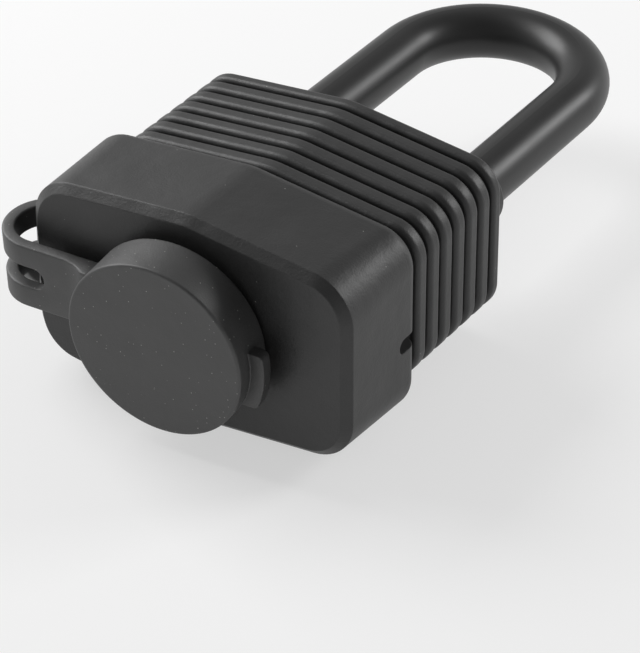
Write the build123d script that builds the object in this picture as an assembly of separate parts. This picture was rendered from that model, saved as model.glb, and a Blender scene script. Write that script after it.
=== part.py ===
from build123d import *
import os
from math import acos, cos, pi, radians, sin, sqrt

# A jacketed laminated padlock lying on its back, in millimetres.
# X runs across the body, +Y from the key face towards the shackle, +Z out of the front face.
# The origin is the middle of the keyway, where the plug's axis meets the key face.

# Jacket, outside
half_width = 25.0             # of the lower cover
edge_half_thickness = 13.42   # of the lower cover at its narrow sides
ridge_half_thickness = 16.04  # of the lower cover along the ridge of each wide face
front_corner_r = 6.9          # upright corners of the lower cover at the key face
rim_corner_r = 5.2            # and at its rim
corner_r = 6.2                # from which the corners of the ribs and of the inside are set in
lower_crease_r = 10.0         # rounding of the ridge on the lower cover
rib_crease_r = 12.0           # rounding of the ridge on the ribs
lower_height = 16.6           # of the lower cover, from key face to rim
bevel = 1.2                   # round the key face
shoulder_r = 2.0              # rounding of the lower cover's rim
rib_step_x = 1.3              # ribs stand back from the lower cover at the narrow sides
rib_step_z = 2.0              # and on the wide faces
rib_depth = 1.3
rib_pitch = 3.146
rib_count = 6
rib_gap = 0.6                 # between two ribs
rib_round = 0.8               # of the crests
rib_side = 0.1                # least straight side between a crest and a groove
first_gap = 1.95              # from the lower cover's rim to the first rib
end_band = 2.05               # width of the smooth band beyond the last rib
end_round = 0.7

# Jacket, inside
jacket_wall = 1.3             # behind the grooves
floor_t = 2.5
end_wall = 1.8
lap = 7.0                     # the upper cover's skirt reaches this far into the lower cover
lap_clearance = 0.1
core_clearance = 0.15         # between the jacket and the plates
notch_r = 1.15                # drain notch in the rim, on the right side
notch_depth = 4.4             # along Y
notch_z = -2.0
collar_r = 10.3               # ring that the dust cap snaps over
collar_bore_r = 7.5
collar_height = 4.2
collar_chamfer = 0.4

# Dust cap and its strap. The stiff strap holds the cap a few degrees out of square on its collar.
cap_r = 13.0
cap_inside = 4.2              # depth of the cup
cap_front_t = 2.2
cap_fit = 0.45                # radial, between the cap and the collar
cap_seat = 0.1                # between the key face and the lowest point of the cap's rim
cap_lean_z = 3.6              # degrees about Z, the strap's side standing out
cap_lean_x = 3.3              # degrees about X, the front standing out
cap_edge_r = 0.35
tab_reach = 2.0               # finger tab, beyond the cap's side
tab_half = 4.35
tab_z = -1.9
tab_back = 2.5                # from the cap's face to the tab's
tab_t = 1.7
tab_corner_r = 0.8
strap_t = 1.7
strap_half = 4.95
strap_z = 0.2
strap_back = 3.44             # from the cup's floor to the strap's outer face
strap_root = 2.0              # length of the thicker root beside the cap
strap_root_t = 3.4
strap_reach = 5.0             # beyond the lower cover's side
strap_bend_r = 5.85           # outside of the bend
strap_heading = 45.0          # degrees from +X, where the strap runs back to the lower cover
strap_slot_half = 1.6
strap_slot_x = -22.2          # where the slot's round end nearest the cap is centred
strap_slot_past = 4.2         # the slot ends this far past the bend's outermost line
strap_foot_drop = 3.9         # from that line on, the lower edge drops to a wider foot
strap_foot_run = 3.6          # in this length along Y
strap_gap = 0.1               # between the strap and the cap's side

# Shackle and what holds it
rod_r = 4.0
leg_x = 14.09
crown_y = 74.34               # centre of the round top
leg_clearance = 0.15          # in the plates
seal_clearance = 0.1
seal_r = 5.4
seal_height = 8.12            # above the end of the upper cover
seal_fit = 0.02
seal_round = 0.5
toe_gap = 0.4                 # under the short leg when it is shut
toe_clear = 0.5               # above the seal when it is lifted
toe_chamfer = 0.9
toe_notch_depth = 2.5
heel_chamfer = 0.6
heel_slot_depth = 1.7
spring_height = 5.6           # under the long leg when it is shut
spring_r = 2.7
spring_wire_r = 0.35
spring_turns = 4
stop_pin_r = 1.0
stop_pin_half = 9.0
stop_slack = 0.2              # beside the stop pin in its slot

# Plates and rivets
plate_count = 14
rivet_r = 1.4
rivet_edge_x = 3.75           # from the plates' sides to the rivets' axes
rivet_edge_z = 2.8
rivet_head_r = 2.1
rivet_head_t = 0.7
rivet_clearance = 0.05

# Key cylinder
plug_r = 5.0
plug_clearance = 0.05
shell_r = 6.8
shell_front_y = 0.4
shell_clearance = 0.1         # in the plates
bible_half = 3.0              # half the width of the pin housing
bible_x = 12.2                # its outer face
bible_end = 1.5               # wall beyond the last pin
pin_cover_t = 0.6
pin_count = 4
pin_pitch = 3.8
pin_first = 2.5               # from the pin housing's lower end
pin_r = 1.2
pin_clearance = 0.05
pin_tips = [2.1, 1.5, 2.5, 1.8]  # where the key pins' tips lie, a simple bitting
pin_top_gap = 0.25            # under the shear line
pin_point = 0.7
pin_flat = 0.2                # least radius left at a pin's tip
driver_length = 3.4
driver_gap = 0.1              # above the shear line
pin_spring_r = 0.8
pin_spring_wire_r = 0.18
pin_spring_turns = 4
end_gap = 0.05                # between a spring and what it presses on
keyway_top = 3.8
keyway_bottom = -3.4
keyway_half = 0.9
keyway_ward = 0.5             # the side ribs leave this on the other side of the middle
keyway_wall = 4.65            # solid end of the plug behind the keyway
clip_t = 0.8
clip_r = 6.0
clip_groove_r = 4.3
clip_opening = 3.0            # half the width of its open side
clip_gap = 0.15
plug_tail = 1.2               # beyond the clip

# Cam, lever and its spring
cam_r = 3.6
cam_t = 2.0
cam_room = 0.3
crank = 1.6                   # the cam pin's distance from the plug's axis
crank_rest = 135.0            # degrees from +X towards +Z
crank_pin_r = 0.9
crank_slack = 0.1
lever_half = 3.7
lever_tip_half = 2.5
lever_neck_x = 6.5            # where the lever narrows
lever_tail_x = -5.0
lever_clearance = 0.08
lever_tip_gap = 0.2           # to the short leg when unlocked
lever_spring_r = 0.8
lever_spring_wire_r = 0.18
lever_spring_turns = 4
lever_spring_wall = 0.65      # to the long leg's hole
lever_channel_half = 1.2

# Worked out from the sizes above
least_corner_r = 0.5
round_share = 0.45            # a rounding takes at most this share of the width that it lies on
overrun = 1.0                 # cutters pass this far through what they cut
groove_x = rib_step_x + rib_depth
groove_z = rib_step_z + rib_depth
cavity_x = groove_x + jacket_wall
cavity_z = groove_z + jacket_wall
core_x = cavity_x + core_clearance
core_z = cavity_z + core_clearance
ribs_y = lower_height + first_gap
cover_end = ribs_y + rib_count * rib_pitch + end_band
core_bottom = floor_t + core_clearance
core_top = cover_end - end_wall - core_clearance
plate_t = (core_top - core_bottom) / plate_count


def plate_y(index):
    """Lower face of a plate, counted from the key face."""
    return core_bottom + index * plate_t


lever_y = plate_y(plate_count - 2)
stop_y = plate_y(plate_count - 1) + plate_t / 2
hole_r = rod_r + leg_clearance
toe_hole_y = plate_y(plate_count - 3)
toe_y = toe_hole_y + toe_gap
seal_top = cover_end + seal_height
lift = seal_top + toe_clear - toe_y
heel_hole_y = plate_y(1)
heel_y = heel_hole_y + spring_height + 2 * end_gap
stop_x = -leg_x + rod_r - heel_slot_depth + stop_slack + stop_pin_r
lean = acos(cos(radians(cap_lean_z)) * cos(radians(cap_lean_x)))
cap_floor_y = -cap_seat - cap_r * sin(lean) - cap_inside * cos(lean)
strap_frame = Pos(0, cap_floor_y, 0) * Rot(cap_lean_x, 0, 0)
cap_frame = strap_frame * Rot(0, 0, cap_lean_z)
bible_y = plate_y(1) + shell_clearance
bible_top = bible_y + pin_first + (pin_count - 1) * pin_pitch + pin_r + bible_end
pin_ys = [bible_y + pin_first + i * pin_pitch for i in range(pin_count)]
cam_end = toe_hole_y - cam_room
plug_end = cam_end - cam_t
clip_y = plug_end - plug_tail - clip_t
shell_end_y = clip_y - clip_gap
keyway_end = plug_end - keyway_wall
crank_x = crank * cos(radians(crank_rest))
crank_z = crank * sin(radians(crank_rest))
lever_tip_x = leg_x - rod_r - lever_tip_gap
lever_spring_x = -leg_x + hole_r + lever_spring_wall
rivet_x = half_width - core_x - rivet_edge_x
rivet_z = edge_half_thickness - core_z - rivet_edge_z


def block(x0, x1, y0, y1, z0, z1):
    """Box between two corners."""
    middle = Pos((x0 + x1) / 2, (y0 + y1) / 2, (z0 + z1) / 2)
    return middle * Box(x1 - x0, y1 - y0, z1 - z0)


def bar_y(radius, y0, y1, x=0.0, z=0.0):
    """Round bar along Y."""
    bottom = (Align.CENTER, Align.CENTER, Align.MIN)
    return Pos(x, y0, z) * Rot(-90, 0, 0) * Cylinder(radius, y1 - y0, align=bottom)


def bar_x(radius, x0, x1, y, z=0.0):
    """Round bar along X."""
    bottom = (Align.CENTER, Align.CENTER, Align.MIN)
    return Pos(x0, y, z) * Rot(0, 90, 0) * Cylinder(radius, x1 - x0, align=bottom)


def bar_z(radius, z0, z1, x, y):
    """Round bar along Z."""
    bottom = (Align.CENTER, Align.CENTER, Align.MIN)
    return Pos(x, y, z0) * Cylinder(radius, z1 - z0, align=bottom)


def body_section(inset_x, inset_z, crease_r, corner, y):
    """The body's rounded six-sided section across Y, set in from the lower cover's outside."""
    w = half_width - inset_x
    e = edge_half_thickness - inset_z
    m = ridge_half_thickness - inset_z
    corners = [(w, y, -e), (w, y, e), (0, y, m), (-w, y, e), (-w, y, -e), (0, y, -m)]
    radii = [corner, corner, crease_r, corner, corner, crease_r]
    return make_face(FilletPolyline(*corners, radius=radii, close=True))


def gabled(inset_x, inset_z, crease_r, y0, y1):
    """Straight length of that section, with corners that follow the inset."""
    corner = max(corner_r - min(inset_x, inset_z), least_corner_r)
    return extrude(body_section(inset_x, inset_z, crease_r, corner, y0), amount=y1 - y0, dir=(0, 1, 0))


def low_rim(solid):
    """Edges that lie in the solid's lowest plane across Y."""
    return solid.edges().group_by(Axis.Y)[0]


def high_rim(solid):
    """Edges that lie in the solid's highest plane across Y."""
    return solid.edges().group_by(Axis.Y)[-1]


def coil(mean_r, wire_r, length, turns):
    """Open spring along +Z from Z = 0. Each quarter turn is two arcs that meet smoothly."""
    steps = 4 * turns
    rise = (length - 2 * wire_r) / steps
    slope = rise / (mean_r * pi / 2)

    def place(i):
        angle = i * pi / 2
        return Vector(mean_r * cos(angle), mean_r * sin(angle), wire_r + i * rise)

    def heading(i):
        angle = i * pi / 2
        return Vector(-sin(angle), cos(angle), slope).normalized()

    arcs = []
    for i in range(steps):
        start, end = place(i), place(i + 1)
        leave, arrive = heading(i), heading(i + 1)
        chord = end - start
        along = chord.dot(leave + arrive)
        bend = 2 * (1 - leave.dot(arrive))
        reach = (-along + sqrt(along * along + bend * chord.dot(chord))) / bend
        first = start + leave * reach
        second = end - arrive * reach
        middle = (first + second) / 2
        arcs.append(TangentArc(start, middle, tangent=leave))
        arcs.append(TangentArc(middle, end, tangent=second - first))
    section = Plane(origin=place(0), z_dir=heading(0)) * Circle(wire_r)
    return sweep(section, path=Wire(arcs))


def lower_cover():
    """Smooth boot over the key end, with the collar for the dust cap."""
    key_end = body_section(0, 0, lower_crease_r, front_corner_r, 0)
    rim = body_section(0, 0, lower_crease_r, rim_corner_r, lower_height)
    square = body_section(0, 0, lower_crease_r, least_corner_r, 0)
    shell = extrude(square, amount=lower_height, dir=(0, 1, 0))
    shell &= loft([key_end, rim], ruled=True)
    shell = chamfer(low_rim(shell), bevel)
    shell = fillet(high_rim(shell), shoulder_r)
    collar = bar_y(collar_r, -collar_height, floor_t)
    collar = chamfer(low_rim(collar), collar_chamfer)
    shell += collar
    shell -= gabled(cavity_x, cavity_z, lower_crease_r, floor_t, lower_height + overrun)
    lap_x = groove_x - lap_clearance
    lap_z = groove_z - lap_clearance
    lap_floor = lower_height - lap - lap_clearance
    shell -= gabled(lap_x, lap_z, rib_crease_r, lap_floor, lower_height + overrun)
    shell -= bar_y(collar_bore_r, -collar_height - overrun, floor_t + overrun)
    notch_y = lower_height - notch_depth + notch_r
    notch_x = half_width - lap_x
    notch = bar_x(notch_r, notch_x, half_width + overrun, notch_y, notch_z)
    notch += block(
        notch_x, half_width + overrun, notch_y, lower_height + overrun, notch_z - notch_r, notch_z + notch_r
    )
    return shell - notch


def upper_cover():
    """Ribbed cap over the shackle end, with a plain skirt that slides into the lower cover."""
    shell = gabled(groove_x, groove_z, rib_crease_r, lower_height - lap, cover_end - end_band / 2)
    rib = gabled(rib_step_x, rib_step_z, rib_crease_r, ribs_y, ribs_y + rib_pitch - rib_gap)
    crest = min(rib_round, rib_depth - rib_side, (rib_pitch - rib_gap) * round_share)
    rib = fillet(low_rim(rib) + high_rim(rib), crest)
    for i in range(rib_count):
        shell += Pos(0, i * rib_pitch, 0) * rib
    band = gabled(rib_step_x, rib_step_z, rib_crease_r, cover_end - end_band, cover_end)
    band = fillet(low_rim(band) + high_rim(band), min(end_round, end_band * round_share))
    shell += band
    shell -= gabled(
        cavity_x, cavity_z, rib_crease_r, lower_height - lap - overrun, cover_end - end_wall
    )
    for side in (-1, 1):
        shell -= bar_y(seal_r + seal_fit, cover_end - end_wall - overrun, cover_end + overrun, side * leg_x)
    return shell


def shackle_seal(side):
    """Rubber sleeve round one leg, pressed into the end of the upper cover."""
    sleeve = bar_y(seal_r, cover_end - end_wall, seal_top, side * leg_x)
    sleeve = fillet(high_rim(sleeve), min(seal_round, (seal_r - rod_r) * round_share))
    bore = bar_y(rod_r + seal_clearance, cover_end - end_wall - overrun, seal_top + overrun, side * leg_x)
    return sleeve - bore


def dust_cap():
    """Cup over the collar with a finger tab on the side away from the strap."""
    tab_y0 = tab_back - cap_front_t
    tab_y1 = tab_y0 + tab_t
    tab_r = cap_r + tab_reach
    tab = bar_y(tab_r, tab_y0, tab_y1)
    tab &= block(0, tab_r, tab_y0, tab_y1, tab_z - tab_half, tab_z + tab_half)
    corners = tab.edges().filter_by(Axis.Y).sort_by(Axis.X)[-2:]
    tab = fillet(corners, min(tab_corner_r, tab_reach * round_share))
    cup = bar_y(cap_r, -cap_front_t, cap_inside)
    cup = fillet(low_rim(cup), cap_edge_r)
    cup += tab
    cup -= bar_y(collar_r + cap_fit, 0, cap_inside + overrun)
    return cap_frame * cup


def cap_strap():
    """Slotted band from the cap's side, round a bend and back to the lower cover's side."""
    slant = radians(cap_lean_z)
    middle_r = strap_bend_r - strap_t / 2
    bend_back = strap_back + strap_bend_r
    bend_x = strap_bend_r - half_width - strap_reach
    bend_y = (bend_back + bend_x * sin(slant)) / cos(slant)

    def on_bend(heading):
        """Point of the middle line, by the way it heads in degrees from +X."""
        turn = radians(heading)
        return Vector(bend_x - middle_r * sin(turn), bend_y + middle_r * cos(turn), strap_z)

    first = 180 + cap_lean_z
    start = on_bend(first)
    finish = on_bend(strap_heading)
    cap_side = Vector(cos(slant), sin(slant), 0)
    away = Vector(cos(radians(strap_heading)), sin(radians(strap_heading)), 0)
    under_cap = start + cap_side * (half_width + strap_reach - cap_r)
    in_cover = finish + away * ((strap_t - half_width - finish.X) / away.X)
    path = Wire([
        Line(under_cap, start),
        ThreePointArc(start, on_bend((first + strap_heading) / 2), finish),
        Line(finish, in_cover),
    ])
    tall = Pos(-strap_foot_drop / 2, 0) * Rectangle(2 * strap_half + strap_foot_drop, strap_t)
    section = Plane(origin=under_cap, x_dir=(0, 0, 1), z_dir=-cap_side) * tall
    band = sweep(section, path=path)
    outside_x = -half_width - strap_reach - overrun
    low_z = strap_z - strap_half
    foot_z = low_z - strap_foot_drop
    foot_y = bend_y + strap_foot_run
    under = Polyline(
        (outside_x, -overrun, low_z), (outside_x, bend_y, low_z), (outside_x, foot_y, foot_z),
        (outside_x, foot_y, foot_z - overrun), (outside_x, -overrun, foot_z - overrun),
        close=True,
    )
    band -= extrude(make_face(under), amount=-outside_x, dir=(1, 0, 0))
    slot_z0 = strap_z - strap_slot_half
    slot_z1 = strap_z + strap_slot_half
    slot_y1 = bend_y + strap_slot_past
    band -= bar_y(strap_slot_half, -overrun, bend_y, strap_slot_x, strap_z)
    band -= block(outside_x, strap_slot_x, -overrun, slot_y1, slot_z0, slot_z1)
    root_y1 = strap_back + strap_t
    root = block(
        -cap_r - strap_root, 0, root_y1 - strap_root_t, root_y1, strap_z - strap_half, strap_z + strap_half
    )
    band += Rot(0, 0, cap_lean_z) * root
    band = strap_frame * band
    band -= block(-half_width, 0, 0, lower_height, -edge_half_thickness, edge_half_thickness)
    return band - cap_frame * bar_y(cap_r + strap_gap, -cap_front_t, bend_back)


def shackle():
    """Bent steel bar with a latch notch in the short leg and a stop slot in the long one."""
    long_leg = Line((-leg_x, heel_y, 0), (-leg_x, crown_y, 0))
    crown = ThreePointArc((-leg_x, crown_y, 0), (0, crown_y + leg_x, 0), (leg_x, crown_y, 0))
    short_leg = Line((leg_x, crown_y, 0), (leg_x, toe_y, 0))
    section = Plane(origin=(-leg_x, heel_y, 0), z_dir=(0, 1, 0)) * Circle(rod_r)
    bar = sweep(section, path=Wire([long_leg, crown, short_leg]))
    for end, size in (((-leg_x, heel_y, 0), heel_chamfer), ((leg_x, toe_y, 0), toe_chamfer)):
        rims = bar.edges().filter_by(GeomType.CIRCLE)
        bar = chamfer(rims.sort_by_distance(end)[0], size)
    toe_inside = leg_x - rod_r
    latch_y0 = lever_y - stop_slack
    latch_y1 = lever_y + plate_t + stop_slack
    past = rod_r + overrun
    bar -= block(toe_inside - overrun, toe_inside + toe_notch_depth, latch_y0, latch_y1, -past, past)
    heel_inside = -leg_x + rod_r
    slot_y0 = stop_y - lift - stop_pin_r - stop_slack
    slot_y1 = stop_y + stop_pin_r + stop_slack
    bar -= block(heel_inside - heel_slot_depth, heel_inside + overrun, slot_y0, slot_y1, -past, past)
    return bar


def shackle_spring():
    """Spring that lifts the shackle, in the bottom of the long leg's hole."""
    spring = coil(spring_r, spring_wire_r, spring_height, spring_turns)
    return Pos(-leg_x, heel_hole_y + end_gap, 0) * Rot(-90, 0, 0) * spring


def retaining_pin():
    """Stop pin across the long leg's slot."""
    return bar_z(stop_pin_r, -stop_pin_half, stop_pin_half, stop_x, stop_y)


def rivet(x, z, clearance):
    """Flush rivet through all the plates, or the room for one."""
    body = bar_y(rivet_r + clearance, core_bottom, core_top, x, z)
    for end, turn in ((core_bottom, -90), (core_top, 90)):
        head = Cone(
            rivet_head_r + clearance, rivet_r + clearance, rivet_head_t,
            align=(Align.CENTER, Align.CENTER, Align.MIN),
        )
        body += Pos(x, end, z) * Rot(turn, 0, 0) * head
    return body


def rivet_places():
    return [(x * rivet_x, z * rivet_z) for x in (-1, 1) for z in (-1, 1)]


def core_cavity():
    """Everything that is cut out of the stack of plates, as one solid."""
    toe_room = bar_y(hole_r, toe_hole_y, core_top + overrun, leg_x)
    heel_room = bar_y(hole_r, heel_hole_y, core_top + overrun, -leg_x)
    shell_room = bar_y(shell_r + shell_clearance, core_bottom - overrun, shell_end_y + clip_gap / 2)
    pin_room = block(
        0, bible_x + pin_cover_t + shell_clearance, plate_y(1), bible_top + shell_clearance,
        -bible_half - shell_clearance, bible_half + shell_clearance,
    )
    clip_room = bar_y(clip_r + cam_room, shell_end_y, cam_end + cam_room)
    orbit_room = bar_y(crank + crank_pin_r + cam_room, cam_end, lever_y + plate_t)
    lever_room = block(
        lever_tail_x - lever_clearance, leg_x, lever_y, lever_y + plate_t,
        -lever_half - lever_clearance, lever_half + lever_clearance,
    )
    spring_room = block(
        lever_spring_x, lever_tail_x, lever_y, lever_y + plate_t, -lever_channel_half, lever_channel_half
    )
    stop_room = bar_z(
        stop_pin_r + pin_clearance, -ridge_half_thickness, ridge_half_thickness, stop_x, stop_y
    )
    rooms = [heel_room, shell_room, pin_room, clip_room, orbit_room, lever_room, spring_room, stop_room]
    rooms += [rivet(x, z, rivet_clearance) for x, z in rivet_places()]
    return toe_room.fuse(*rooms)


def plates():
    """Stack of steel plates, from the key face to the shackle."""
    cavity = core_cavity()
    stack = {}
    for i in range(plate_count):
        name = f"lamination_{i + 1:02d}"
        if i == 0:
            name = "bottom_plate"
        if i == plate_count - 1:
            name = "top_plate"
        stack[name] = gabled(core_x, core_z, rib_crease_r, plate_y(i), plate_y(i + 1)) - cavity
    return stack


def cylinder_shell():
    """Brass barrel with the pin housing along one side."""
    body = bar_y(shell_r, shell_front_y, shell_end_y)
    body += block(0, bible_x, bible_y, bible_top, -bible_half, bible_half)
    body -= bar_y(plug_r + plug_clearance, shell_front_y - overrun, shell_end_y + overrun)
    for y in pin_ys:
        body -= bar_x(pin_r + pin_clearance, 0, bible_x + overrun, y)
    return body


def pin_cover():
    """Strip that closes the pin housing."""
    return block(bible_x, bible_x + pin_cover_t, bible_y, bible_top, -bible_half, bible_half)


def cylinder_plug():
    """Plug with a stepped keyway, a hole for each key pin and a groove for its clip."""
    body = bar_y(plug_r, 0, plug_end)
    body -= block(-keyway_ward, keyway_top, -overrun, keyway_end, -keyway_ward, keyway_half)
    body -= block(keyway_bottom, keyway_ward, -overrun, keyway_end, -keyway_half, keyway_ward)
    for y in pin_ys:
        body -= bar_x(pin_r + pin_clearance, 0, plug_r + overrun, y)
    groove = bar_y(plug_r + overrun, clip_y, clip_y + clip_t)
    return body - (groove - bar_y(clip_groove_r, clip_y, clip_y + clip_t))


def plug_clip():
    """Spring clip with an open side that keeps the plug in its barrel."""
    ring = bar_y(clip_r, clip_y, clip_y + clip_t) - bar_y(clip_groove_r, clip_y, clip_y + clip_t)
    y0 = clip_y - overrun
    y1 = clip_y + clip_t + overrun
    return ring - block(-clip_opening, clip_opening, y0, y1, 0, clip_r + overrun)


def key_pins():
    """Pointed pins in the plug, lifted to the shear line."""
    pins = []
    for y, tip in zip(pin_ys, pin_tips):
        pin = bar_x(pin_r, tip, plug_r - pin_top_gap, y)
        pins.append(chamfer(pin.edges().group_by(Axis.X)[0], min(pin_point, pin_r - pin_flat)))
    return Compound(children=pins)


def driver_pins():
    """Plain pins in the barrel, just outside the shear line."""
    start = plug_r + plug_clearance + driver_gap
    return Compound(children=[bar_x(pin_r, start, start + driver_length, y) for y in pin_ys])


def pin_springs():
    """Springs between the driver pins and the pin cover."""
    start = plug_r + plug_clearance + driver_gap + driver_length + end_gap
    spring = coil(pin_spring_r, pin_spring_wire_r, bible_x - end_gap - start, pin_spring_turns)
    return Compound(children=[Pos(start, y, 0) * Rot(0, 90, 0) * spring for y in pin_ys])


def drive_cam():
    """Disc on the plug's end with an off-centre pin that moves the lever."""
    disc = bar_y(cam_r, plug_end, cam_end)
    return disc + bar_y(crank_pin_r, cam_end, lever_y + plate_t - lever_clearance, crank_x, crank_z)


def locking_lever():
    """Flat bolt that slides across into the short leg's notch."""
    y0 = lever_y + lever_clearance
    y1 = lever_y + plate_t - lever_clearance
    bolt = block(lever_tail_x, lever_neck_x, y0, y1, -lever_half, lever_half)
    bolt += block(lever_neck_x, lever_tip_x, y0, y1, -lever_tip_half, lever_tip_half)
    slack = crank_pin_r + crank_slack
    low = bar_y(slack, y0 - overrun, y1 + overrun, crank_x, crank_z)
    high = bar_y(slack, y0 - overrun, y1 + overrun, crank_x, crank)
    middle = block(crank_x - slack, crank_x + slack, y0 - overrun, y1 + overrun, crank_z, crank)
    return bolt - low - high - middle


def lever_spring():
    """Spring behind the lever."""
    length = lever_tail_x - lever_spring_x - 2 * end_gap
    spring = coil(lever_spring_r, lever_spring_wire_r, length, lever_spring_turns)
    return Pos(lever_spring_x + end_gap, lever_y + plate_t / 2, 0) * Rot(0, 90, 0) * spring


nodes = {
    "lower_cover": lower_cover(),
    "upper_cover": upper_cover(),
    "heel_seal": shackle_seal(-1),
    "toe_seal": shackle_seal(1),
    "dust_cap": dust_cap(),
    "cap_strap": cap_strap(),
    "shackle": shackle(),
    "shackle_spring": shackle_spring(),
    "retaining_pin": retaining_pin(),
    "rivets": Compound(children=[rivet(x, z, 0) for x, z in rivet_places()]),
    "cylinder_shell": cylinder_shell(),
    "pin_cover": pin_cover(),
    "cylinder_plug": cylinder_plug(),
    "plug_clip": plug_clip(),
    "key_pins": key_pins(),
    "driver_pins": driver_pins(),
    "pin_springs": pin_springs(),
    "drive_cam": drive_cam(),
    "locking_lever": locking_lever(),
    "lever_spring": lever_spring(),
}
nodes.update(plates())

os.makedirs("parts", exist_ok=True)
for name, solid in nodes.items():
    export_step(solid, f"parts/{name}.step")
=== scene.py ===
from math import cos, pi, radians, sin

import bmesh
import bpy
from mathutils import Matrix, Vector


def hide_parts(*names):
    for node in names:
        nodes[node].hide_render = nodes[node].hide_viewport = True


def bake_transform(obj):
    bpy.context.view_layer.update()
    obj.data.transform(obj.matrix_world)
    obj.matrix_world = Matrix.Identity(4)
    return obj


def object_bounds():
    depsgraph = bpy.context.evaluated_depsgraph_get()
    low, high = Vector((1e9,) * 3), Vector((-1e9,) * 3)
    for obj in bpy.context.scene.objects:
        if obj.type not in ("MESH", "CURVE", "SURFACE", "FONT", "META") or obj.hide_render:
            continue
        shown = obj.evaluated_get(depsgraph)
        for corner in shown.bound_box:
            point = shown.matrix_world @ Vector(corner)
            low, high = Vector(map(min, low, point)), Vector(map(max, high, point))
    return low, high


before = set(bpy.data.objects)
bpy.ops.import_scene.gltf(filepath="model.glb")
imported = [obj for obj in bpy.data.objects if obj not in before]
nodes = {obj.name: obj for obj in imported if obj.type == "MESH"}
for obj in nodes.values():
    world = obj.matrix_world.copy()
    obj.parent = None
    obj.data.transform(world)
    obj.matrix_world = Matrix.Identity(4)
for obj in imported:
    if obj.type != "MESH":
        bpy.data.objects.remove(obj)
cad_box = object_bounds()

# Plates: the body of the lock is a stack of fourteen plates, stamped from sheet steel and
# electroplated with zinc. Four rivets hold them together, and the jacket covers them all.
mm = 0.001


def linear(code):
    """Linear RGBA of an sRGB hex colour."""
    parts = [int(code[i:i + 2], 16) / 255 for i in (1, 3, 5)]
    return [c / 12.92 if c <= 0.04045 else ((c + 0.055) / 1.055) ** 2.4 for c in parts] + [1.0]


def add(tree, kind, sockets, **settings):
    """New node with its settings, and its sockets set to values or linked to outputs."""
    node = tree.nodes.new(kind)
    for name, value in settings.items():
        setattr(node, name, value)
    for name, value in sockets.items():
        if isinstance(value, bpy.types.NodeSocket):
            tree.links.new(value, node.inputs[name])
        else:
            node.inputs[name].default_value = value
    return node


def start_material(name):
    """New material, with its node tree, its shader and its Object coordinates."""
    material = bpy.data.materials.new(name)
    material.use_nodes = True
    tree = material.node_tree
    place = add(tree, "ShaderNodeTexCoord", {}).outputs["Object"]
    return material, tree, tree.nodes["Principled BSDF"], place


def link_surface(tree, shader, tone, gloss, relief):
    """Gives a shader its colour, its roughness and its bump."""
    tree.links.new(tone.outputs["Color"], shader.inputs["Base Color"])
    tree.links.new(gloss.outputs["Result"], shader.inputs["Roughness"])
    tree.links.new(relief.outputs["Normal"], shader.inputs["Normal"])


def metal(name, dark, pale, smooth, rough, mark, stretch, depth):
    """Bare metal with a cloudy tone and tool marks, which are long along axes of small stretch.

    Real tool marks are a few hundredths of a millimetre wide. They are drawn coarser, to show.
    """
    cloud_size = 4 * mm
    material, tree, shader, place = start_material(name)
    cloud = add(
        tree, "ShaderNodeTexNoise", {"Vector": place, "Scale": 1 / cloud_size, "Detail": 4.0}
    )
    tone = add(
        tree, "ShaderNodeMixRGB",
        {"Fac": cloud.outputs["Fac"], "Color1": linear(dark), "Color2": linear(pale)},
    )
    run = add(tree, "ShaderNodeMapping", {"Vector": place, "Scale": stretch})
    marks = add(
        tree, "ShaderNodeTexNoise",
        {"Vector": run.outputs["Vector"], "Scale": 1 / mark, "Detail": 2.0},
    )
    gloss = add(
        tree, "ShaderNodeMapRange",
        {"Value": marks.outputs["Fac"], "To Min": smooth, "To Max": rough},
    )
    relief = add(
        tree, "ShaderNodeBump",
        {"Height": marks.outputs["Fac"], "Strength": 0.4, "Distance": depth},
    )
    link_surface(tree, shader, tone, gloss, relief)
    shader.inputs["Metallic"].default_value = 1.0
    return material


def dress(material, *names):
    """Gives CAD nodes one material."""
    for name in names:
        nodes[name].data.materials.clear()
        nodes[name].data.materials.append(material)


# Zinc plate on rolled sheet: a pale bluish metal with a faint cloudy haze and rolling lines.
zinc = metal(
    "zinc_plated_sheet_steel", dark="#a9adb1", pale="#c6c8c6", smooth=0.26, rough=0.42,
    mark=0.25 * mm, stretch=(0.06, 1, 1), depth=0.01 * mm,
)
laminations = [name for name in nodes if name.startswith("lamination_")]
dress(zinc, *laminations, "bottom_plate", "top_plate")

# Rivets, stop pin, lever and cam: small pieces of hardened steel, ground and lightly oiled.
# The rivets are set flush in the end plates, and the rest lie loose in pockets of the stack.

# Ground hardened steel: darker than zinc, with short grinding marks and an oily gloss.
hard_steel = metal(
    "ground_hardened_steel", dark="#7d7f82", pale="#95969a", smooth=0.2, rough=0.36,
    mark=0.2 * mm, stretch=(1, 0.3, 0.15), depth=0.01 * mm,
)
dress(hard_steel, "rivets", "retaining_pin", "locking_lever", "drive_cam")

# Springs and clip: steel wire drawn and wound into springs, and a clip stamped from spring
# steel. They sit under the long leg, behind the lever, over the pins and in the plug's groove.

# Drawn spring steel: grey and fairly smooth, with a slight blue-brown cast from its tempering.
spring_steel = metal(
    "drawn_spring_steel", dark="#6a6763", pale="#84868b", smooth=0.22, rough=0.34,
    mark=0.15 * mm, stretch=(1, 1, 1), depth=0.004 * mm,
)
dress(spring_steel, "shackle_spring", "lever_spring", "pin_springs", "plug_clip")

# Key cylinder: barrel, plug, pins and cover strip, turned and milled from brass bar.
# The barrel drops into the plates from the key end, and the plug turns in it.

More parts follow.
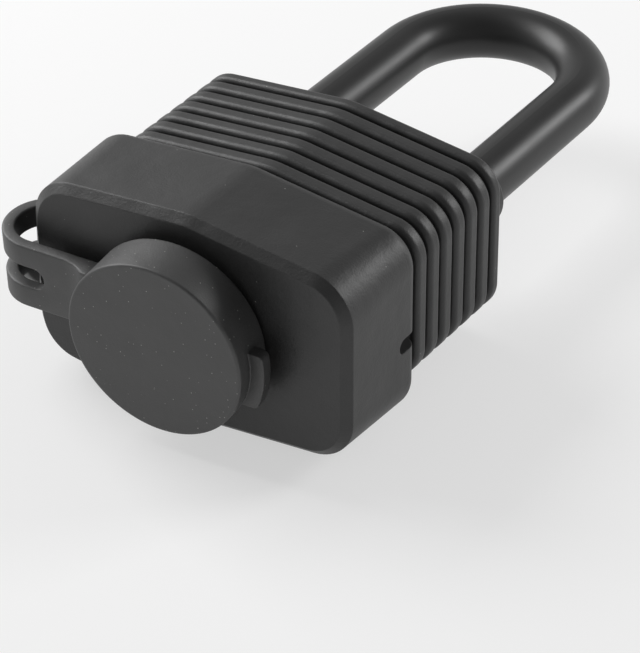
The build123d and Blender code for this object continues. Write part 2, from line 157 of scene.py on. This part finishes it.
# Turned brass: warm yellow with fine marks from the lathe and a light brown tarnish.
brass = metal(
    "turned_brass", dark="#b08a45", pale="#d0aa62", smooth=0.2, rough=0.38,
    mark=0.18 * mm, stretch=(0.3, 1, 0.3), depth=0.008 * mm,
)
dress(brass, "cylinder_shell", "pin_cover", "cylinder_plug", "key_pins", "driver_pins")

# Shackle: a round steel bar bent hot into a tall loop, hardened and coated in satin black.
# Its long leg stays in the body on a stop pin, and its short leg has the notch for the lever.
ripple_size = 1.1 * mm
ripple_depth = 0.02 * mm
cloud_size = 9 * mm

# Satin black coating on steel: near black, with a soft sheen and the slight ripple of a
# sprayed film.
satin_black, tree, shader, place = start_material("satin_black_coated_steel")
ripple = add(
    tree, "ShaderNodeTexNoise", {"Vector": place, "Scale": 1 / ripple_size, "Detail": 2.0}
)
cloud = add(
    tree, "ShaderNodeTexNoise", {"Vector": place, "Scale": 1 / cloud_size, "Detail": 3.0}
)
tone = add(
    tree, "ShaderNodeMixRGB",
    {"Fac": cloud.outputs["Fac"], "Color1": linear("#202020"), "Color2": linear("#2a2a2a")},
)
gloss = add(
    tree, "ShaderNodeMapRange",
    {"Value": cloud.outputs["Fac"], "To Min": 0.34, "To Max": 0.46},
)
film = add(
    tree, "ShaderNodeBump",
    {"Height": ripple.outputs["Fac"], "Strength": 0.12, "Distance": ripple_depth},
)
link_surface(tree, shader, tone, gloss, film)
dress(satin_black, "shackle")

# Jacket: two boots of thick black vinyl, moulded and pushed over the plates from both ends.
# The upper one has ribs and two sleeves for the legs, the lower one a collar for the dust cap.


def moulded(name, dark, pale, shine, smooth, rough, grain, speck_gap, speck_share):
    """Moulded black plastic: cloudy tone, slight waves, mould grain, soft edges and dust.

    Real mould grain is about a tenth of a millimetre wide. It is drawn coarser, to show.
    """
    cloud_size = 7 * mm
    wave_depth = 0.5 * mm
    grain_depth = 0.05 * mm
    edge_r = 0.3 * mm
    speck_r = 0.1 * mm
    speck_colour = "#b4b4b0"
    material, tree, shader, place = start_material(name)
    cloud = add(
        tree, "ShaderNodeTexNoise", {"Vector": place, "Scale": 1 / cloud_size, "Detail": 3.0}
    )
    tone = add(
        tree, "ShaderNodeMixRGB",
        {"Fac": cloud.outputs["Fac"], "Color1": linear(dark), "Color2": linear(pale)},
    )
    cells = add(tree, "ShaderNodeTexVoronoi", {"Vector": place, "Scale": 1 / speck_gap})
    spot = add(
        tree, "ShaderNodeMapRange",
        {
            "Value": cells.outputs["Distance"],
            "From Min": speck_r / speck_gap, "From Max": 0.0,
        },
    )
    pick = add(tree, "ShaderNodeSeparateColor", {"Color": cells.outputs["Color"]})
    kept = add(
        tree, "ShaderNodeMath",
        {0: pick.outputs["Red"], 1: 1 - speck_share}, operation="GREATER_THAN",
    )
    speck = add(
        tree, "ShaderNodeMath",
        {0: spot.outputs["Result"], 1: kept.outputs["Value"]}, operation="MULTIPLY",
    )
    dusty = add(
        tree, "ShaderNodeMixRGB",
        {
            "Fac": speck.outputs["Value"],
            "Color1": tone.outputs["Color"], "Color2": linear(speck_colour),
        },
    )
    gloss = add(
        tree, "ShaderNodeMapRange",
        {"Value": cloud.outputs["Fac"], "To Min": smooth, "To Max": rough},
    )
    pebble = add(
        tree, "ShaderNodeTexNoise", {"Vector": place, "Scale": 1 / grain, "Detail": 2.0}
    )
    soft_edge = add(tree, "ShaderNodeBevel", {"Radius": edge_r}, samples=6)
    wave = add(
        tree, "ShaderNodeBump",
        {
            "Height": cloud.outputs["Fac"], "Strength": 0.45, "Distance": wave_depth,
            "Normal": soft_edge.outputs["Normal"],
        },
    )
    relief = add(
        tree, "ShaderNodeBump",
        {
            "Height": pebble.outputs["Fac"], "Strength": 0.6, "Distance": grain_depth,
            "Normal": wave.outputs["Normal"],
        },
    )
    link_surface(tree, shader, dusty, gloss, relief)
    shader.inputs["Specular IOR Level"].default_value = shine
    return material


# Moulded vinyl: charcoal black and half matt, with a fine grain from the mould and the odd
# speck of dust.
vinyl = moulded(
    "moulded_black_vinyl", dark="#262626", pale="#2e2e2e", shine=0.6, smooth=0.42, rough=0.55,
    grain=0.3 * mm, speck_gap=1.6 * mm, speck_share=0.2,
)
dress(vinyl, "upper_cover", "heel_seal", "toe_seal", "lower_cover")

# Dust cap: a rubber cup with a finger tab, pressed over the collar on the key face.
# It is moulded with its strap, which holds it a little out of square.

# Moulded rubber: a touch greyer and more matt than the vinyl, and it holds more dust.
rubber = moulded(
    "moulded_black_rubber", dark="#2e2e2e", pale="#363636", shine=0.9, smooth=0.48, rough=0.6,
    grain=0.25 * mm, speck_gap=0.7 * mm, speck_share=0.3,
)
dress(rubber, "dust_cap")

# Strap: a slotted rubber band from the cap's side, round an open bend and back to the lower
# cover's side, where it widens to a foot. It is moulded in one with the cap.
cup_floor = -5.391 * mm
lean_x = radians(3.3)
lean_z = radians(3.6)
band_t = 1.7 * mm
band_back = 3.44 * mm  # from the cup's floor to the band's outer face
band_half = 4.95 * mm
band_z = 0.2 * mm
band_edge = 0.25 * mm
# The root is thicker at the cap: distances along the band, and of its outer face there.
root_flare = [
    (11.9 * mm, 1.9 * mm),
    (13.6 * mm, 2.1 * mm),
    (14.4 * mm, 2.65 * mm),
    (15.4 * mm, 3.15 * mm),
    (17.0 * mm, band_back),
]
root_end = root_flare[-1][0]
bend_reach = 30 * mm  # from the lock's middle to the outermost line of the bend
bend_r = 5.85 * mm
bend_x = bend_r - bend_reach
bend_y = (band_back + bend_r + bend_x * sin(lean_z)) / cos(lean_z)
bend_steps = 25
slot_half = 1.6 * mm
slot_round = 0.97 * slot_half  # just under the half width, so that the corners do not meet
slot_tip = 20.6 * mm
slot_past = 0.8 * mm
foot_heading = radians(45)
foot_length = 5.2 * mm
foot_drop = 4.0 * mm
foot_run = 4.2 * mm
corner_angle = 1.0  # radians, between a bend's facets and a real corner
crease_angle = radians(40)
along = Vector((-cos(lean_z), -sin(lean_z), 0))
across = Vector((-sin(lean_z), cos(lean_z), 0))
onward = Vector((cos(foot_heading), sin(foot_heading), 0))
bend_middle = Vector((bend_x, bend_y, 0))

strap = bmesh.new()
levels = (-band_half, -slot_half, slot_half, band_half)
inner_face = across * (band_back + band_t)
back_side = [strap.verts.new(inner_face + Vector((0, 0, z))) for z in levels]
front_side = [strap.verts.new((0, 0, z)) for z in reversed(levels)]
first = back_side + front_side
ring = [strap.edges.new((first[i - 1], first[i])) for i in range(len(first))]
bmesh.ops.contextual_create(strap, geom=ring)
bmesh.ops.translate(strap, vec=along * root_flare[0][0] + Vector((0, 0, band_z)), verts=first)
bmesh.ops.translate(strap, vec=across * root_flare[0][1], verts=front_side)


def lengthen(open_end, step):
    """Draws the band's open end out by a step, and gives its new end."""
    made = bmesh.ops.extrude_edge_only(strap, edges=open_end)["geom"]
    moved = [g for g in made if isinstance(g, bmesh.types.BMVert)]
    bmesh.ops.translate(strap, vec=step, verts=moved)
    return [g for g in made if isinstance(g, bmesh.types.BMEdge) and set(g.verts) <= set(moved)]


# Root, plain band, slotted band, bend and foot, one after the other.
for near, far in zip(root_flare, root_flare[1:]):
    ring = lengthen(ring, along * (far[0] - near[0]))
    end = sorted({v for e in ring for v in e.verts}, key=lambda v: v.co.dot(across))
    bmesh.ops.translate(strap, vec=across * (far[1] - near[1]), verts=end[:len(levels)])
ring = lengthen(ring, along * (slot_tip - root_end))
whole = set(strap.faces)
ring = lengthen(ring, along * (bend_middle.dot(along) - slot_tip))
bent = bmesh.ops.spin(
    strap, geom=ring, cent=bend_middle, axis=(0, 0, -1),
    angle=pi + lean_z - foot_heading, steps=bend_steps,
)["geom_last"]
ring = lengthen([g for g in bent if isinstance(g, bmesh.types.BMEdge)], onward * slot_past)
slotted = [f for f in strap.faces if f not in whole]
ring = lengthen(ring, onward * (foot_length - slot_past))
bmesh.ops.contextual_create(strap, geom=ring)

# The faces in the slot's way come out, and walls close the slot. Before that, the lower edge
# past the bend drops to the foot, steeply at first and then level.
opened = [f for f in slotted if abs(f.calc_center_median().z - band_z) < slot_half]
for vert in strap.verts:
    if vert.co.y > bend_y and vert.co.z < -slot_half:
        share = min((vert.co.y - bend_y) / foot_run, 1)
        vert.co.z -= foot_drop * share * (2 - share)
bmesh.ops.delete(strap, geom=opened, context="FACES")
open_edges = [e for e in strap.edges if e.is_boundary]
walls = set(bmesh.ops.bridge_loops(strap, edges=open_edges)["faces"])
bmesh.ops.recalc_face_normals(strap, faces=strap.faces)
slot_ends = [
    e for e in strap.edges
    if set(e.link_faces) <= walls and e.calc_face_angle() > corner_angle
]
bmesh.ops.bevel(
    strap, geom=slot_ends, offset=slot_round, segments=6, profile=0.5,
    affect="EDGES", material=-1,
)
sharp = [e for e in strap.edges if e.calc_face_angle() > corner_angle]
bmesh.ops.bevel(
    strap, geom=sharp, offset=band_edge, segments=3, profile=0.5,
    affect="EDGES", material=-1,
)
strap.transform(Matrix.Translation((0, cup_floor, 0)) @ Matrix.Rotation(lean_x, 4, "X"))
for face in strap.faces:
    face.smooth = True


def set_down(name, shape, material):
    """New object at the origin, from a finished bmesh."""
    mesh = bpy.data.meshes.new(name)
    shape.to_mesh(mesh)
    shape.free()
    mesh.materials.append(material)
    made = bpy.data.objects.new(name, mesh)
    bpy.context.scene.collection.objects.link(made)
    return made


band = set_down("cap_strap_band", strap, rubber)
band.data.set_sharp_from_angle(angle=crease_angle)
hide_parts("cap_strap")
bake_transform(band)

# Setting: a white floor, on which the lock lies on its back, a pale room, a large soft lamp on
# the lock's left and a small one behind it, and the camera.
floor_gap = 0.02 * mm
floor_half = 2000 * mm
own_white = 0.55

# Matt white board: plain and white, with no gloss. Part of its white is its own for the rays
# that look at it, so that the shadow on it stays light.
board, tree, shader, _ = start_material("matt_white_board")
shader.inputs["Base Color"].default_value = linear("#f4f4f4")
shader.inputs["Roughness"].default_value = 1.0
shader.inputs["Specular IOR Level"].default_value = 0.0
glow = add(tree, "ShaderNodeEmission", {"Color": linear("#ffffff"), "Strength": 1.0})
ray = add(tree, "ShaderNodeLightPath", {}).outputs
direct = add(
    tree, "ShaderNodeMath",
    {0: ray["Is Camera Ray"], 1: ray["Is Glossy Ray"]}, operation="ADD",
)
seen = add(
    tree, "ShaderNodeMath",
    {0: direct.outputs["Value"], 1: ray["Is Transmission Ray"]}, operation="MAXIMUM",
)
glowing = add(
    tree, "ShaderNodeMath", {0: seen.outputs["Value"], 1: own_white}, operation="MULTIPLY"
)
white = add(
    tree, "ShaderNodeMixShader",
    {0: glowing.outputs["Value"], 1: shader.outputs["BSDF"], 2: glow.outputs["Emission"]},
)
tree.links.new(white.outputs["Shader"], tree.nodes["Material Output"].inputs["Surface"])

board_shape = bmesh.new()
bmesh.ops.create_grid(board_shape, x_segments=1, y_segments=1, size=floor_half)
floor_z = cad_box[0].z - floor_gap
bmesh.ops.translate(board_shape, vec=(0, 0, floor_z), verts=board_shape.verts)
floor = set_down("floor", board_shape, board)

# The room is pale at the level of the floor, a little dimmer on the camera's side and dark
# overhead: its light is a level, and a slope along each axis.
room_level = 0.55
room_slope = (-0.06, 0.09, -0.43)
world = bpy.data.worlds.new("studio")
bpy.context.scene.world = world
world.use_nodes = True
tree = world.node_tree
sky = add(tree, "ShaderNodeTexCoord", {}).outputs["Generated"]
side = add(tree, "ShaderNodeVectorMath", {0: sky, 1: room_slope}, operation="DOT_PRODUCT")
level = add(
    tree, "ShaderNodeMath", {0: side.outputs["Value"], 1: room_level}, operation="ADD"
)
backdrop = tree.nodes["Background"].inputs
backdrop["Color"].default_value = linear("#ffffff")
tree.links.new(level.outputs["Value"], backdrop["Strength"])

# Lamps: the way to each from the lock's middle, its distance and width, and its watts.
aim = Vector((0, 25, 0)) * mm
for name, way, distance, width, watts in (
    ("left_softbox", Vector((-0.80, 0.04, 0.60)), 550 * mm, 360 * mm, 2.6),
    ("back_softbox", Vector((0.57, 0.69, 0.45)), 500 * mm, 160 * mm, 0.9),
):
    lamp = bpy.data.lights.new(name, "AREA")
    lamp.shape = "SQUARE"
    lamp.size = width
    lamp.energy = watts
    stand = bpy.data.objects.new(name, lamp)
    stand.location = aim + way.normalized() * distance
    stand.rotation_euler = way.to_track_quat("Z", "Y").to_euler()
    bpy.context.scene.collection.objects.link(stand)

# The camera stands where the photograph was taken from, with its focal length.
focal_pixels = 3353.6
long_side_pixels = 653
eye = Vector((212.727, -288.262, 246.140)) * mm
right = Vector((0.83340, 0.55266, -0.00276))
back = Vector((0.45620, -0.68511, 0.56790))
camera = bpy.data.cameras.new("camera")
camera.sensor_width = 36
camera.lens = focal_pixels * camera.sensor_width / long_side_pixels
camera.clip_start = 50 * mm
camera.clip_end = 20000 * mm
turned = Matrix((right, back.cross(right), back)).transposed().to_4x4()
tripod = bpy.data.objects.new("camera", camera)
tripod.matrix_world = Matrix.Translation(eye) @ turned
bpy.context.scene.collection.objects.link(tripod)
bpy.context.scene.camera = tripod
bpy.context.scene.view_settings.view_transform = "Standard"
